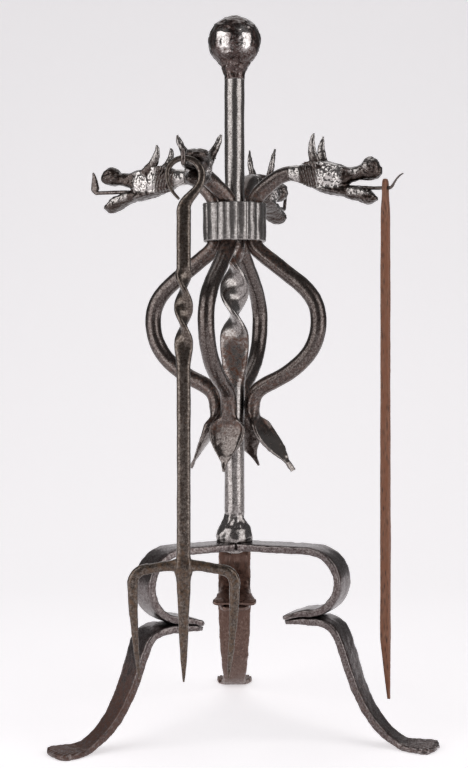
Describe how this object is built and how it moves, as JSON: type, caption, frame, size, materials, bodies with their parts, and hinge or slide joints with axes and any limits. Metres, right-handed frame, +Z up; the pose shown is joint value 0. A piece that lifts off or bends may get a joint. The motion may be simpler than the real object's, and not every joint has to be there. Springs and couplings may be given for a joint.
{
  "type": "andiron",
  "caption": "Forged iron hearth stand on a tripod, with a twisted shaft, ball finial, bowed bars ending in horned heads, and a fork and skewer hung from the tongues.",
  "frame": {"origin": "on the floor, in the middle of the rectangle that the whole object covers", "axes": "+Z up along the centre shaft, +X to the right and +Y away from the viewer of the picture"},
  "size_m": [0.3716, 0.3852, 0.7135],
  "materials": {
    "forged_iron": "hammered, dark, waxed, with brown rust in the hollows",
    "worn_iron": "hammered and rubbed bright on the high places, pitted",
    "rusty_iron": "warm rust brown with dark specks"
  },
  "bodies": {
    "stand": {"centre_shaft": "forged_iron", "ball_finial": "worn_iron", "collar": "worn_iron", "arm_right": "forged_iron", "head_right": "worn_iron", "horns_right": "worn_iron", "tongue_right": "forged_iron", "arm_front": "forged_iron", "head_front": "worn_iron", "horns_front": "worn_iron", "tongue_front": "forged_iron", "arm_left": "forged_iron", "head_left": "worn_iron", "horns_left": "worn_iron", "tongue_left": "forged_iron", "arm_back": "forged_iron", "head_back": "worn_iron", "horns_back": "worn_iron", "tongue_back": "forged_iron", "leg_scroll_back": "forged_iron", "leg_lower_back": "forged_iron", "leg_scroll_left": "forged_iron", "leg_lower_left": "forged_iron", "leg_scroll_right": "forged_iron", "leg_lower_right": "forged_iron"},
    "fork": {"fork_shaft": "forged_iron", "fork_side_prongs": "forged_iron"},
    "skewer": {"skewer": "rusty_iron"}
  },
  "joints": [
    {"name": "fork_swing", "type": "hinge", "parent": "stand", "child": "fork", "pos_m": [-0.05511, -0.18021, 0.5473], "axis": [-0.0175, -0.9998, 0], "range_deg": [-30, 30]},
    {"name": "skewer_swing", "type": "hinge", "parent": "stand", "child": "skewer", "pos_m": [0.13691, -0.07969, 0.5362], "axis": [0.9511, -0.309, 0], "range_deg": [-30, 30]}
  ]
}
